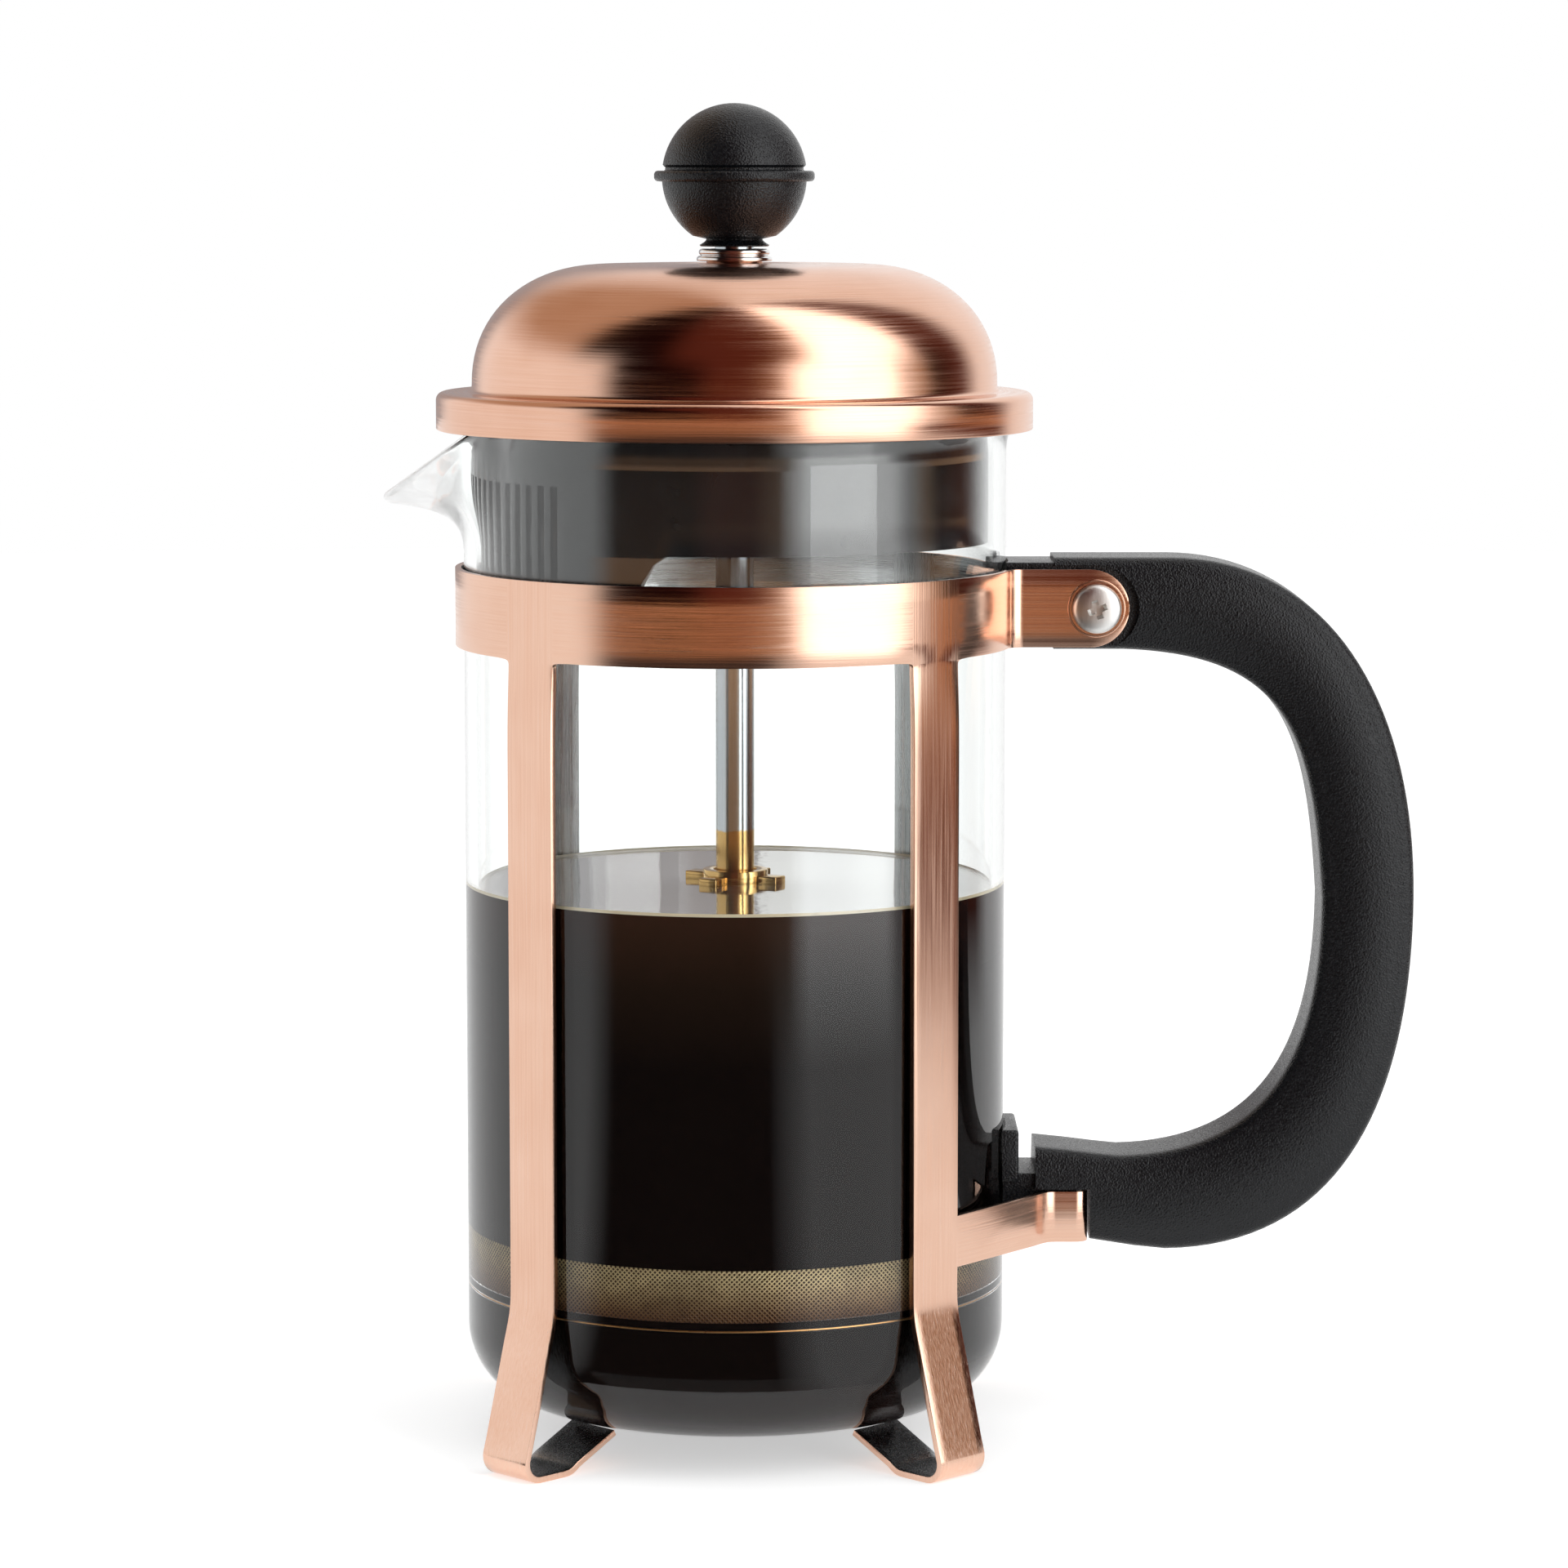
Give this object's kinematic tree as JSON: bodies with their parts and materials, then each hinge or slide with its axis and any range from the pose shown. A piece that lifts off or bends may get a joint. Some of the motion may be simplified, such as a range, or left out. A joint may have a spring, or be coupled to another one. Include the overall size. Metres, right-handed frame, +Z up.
{
  "type": "french press",
  "caption": "Small french press: lipped glass beaker in a four-legged strip frame with a D handle, domed lid with pouring slots, and a sprung mesh filter on a rod with a ball knob.",
  "frame": {"origin": "middle of the overall footprint, on the surface the feet stand on", "axes": "+Z up along the pressing axis, +X towards the handle, -X towards the pouring lip, -Y towards the screw head"},
  "size_m": [0.1331, 0.0768, 0.173],
  "materials": {
    "copper_plate": "copper-plated steel, brushed and lacquered",
    "black_plastic": "fine spark-eroded grain",
    "liner_plastic": "smooth gloss",
    "chrome_parts": "bright plated",
    "stainless": "drawn and polished",
    "mesh_steel": "fine woven wire",
    "beaker_glass": "clear borosilicate"
  },
  "bodies": {
    "frame": {"frame_band": "copper_plate", "leg_front_left": "copper_plate", "leg_front_right": "copper_plate", "leg_rear_left": "copper_plate", "leg_rear_right": "copper_plate", "handle_brace": "copper_plate", "handle": "black_plastic", "handle_screw": "chrome_parts", "handle_nut": "chrome_parts"},
    "beaker": {"glass_beaker": "beaker_glass"},
    "lid_core": {"lid_bushing": "chrome_parts", "lid_nut": "stainless"},
    "lid_shell": {"lid_dome": "copper_plate", "lid_liner": "liner_plastic"},
    "plunger": {"plunger_rod": "stainless", "knob_lower": "black_plastic", "knob_upper": "black_plastic", "knob_nut": "stainless", "stop_collar": "stainless", "filter_hub": "stainless", "filter_spiral_plate": "stainless", "filter_spring": "stainless", "filter_mesh": "mesh_steel", "filter_cross_plate": "stainless", "filter_nut": "stainless"}
  },
  "joints": [
    {"name": "beaker_lift", "type": "slide", "parent": "frame", "child": "beaker", "axis": [0, 0, 1], "range_m": [0, 0.115]},
    {"name": "lid_lift", "type": "slide", "parent": "beaker", "child": "lid_core", "axis": [0, 0, 1], "range_m": [0, 0.125]},
    {"name": "lid_turn", "type": "hinge", "parent": "lid_core", "child": "lid_shell", "pos_m": [-0.02125, 0, 0.1336], "axis": [0, 0, 1], "continuous": true},
    {"name": "plunger_slide", "type": "slide", "parent": "lid_core", "child": "plunger", "axis": [0, 0, 1], "range_m": [0, 0.0545]}
  ]
}
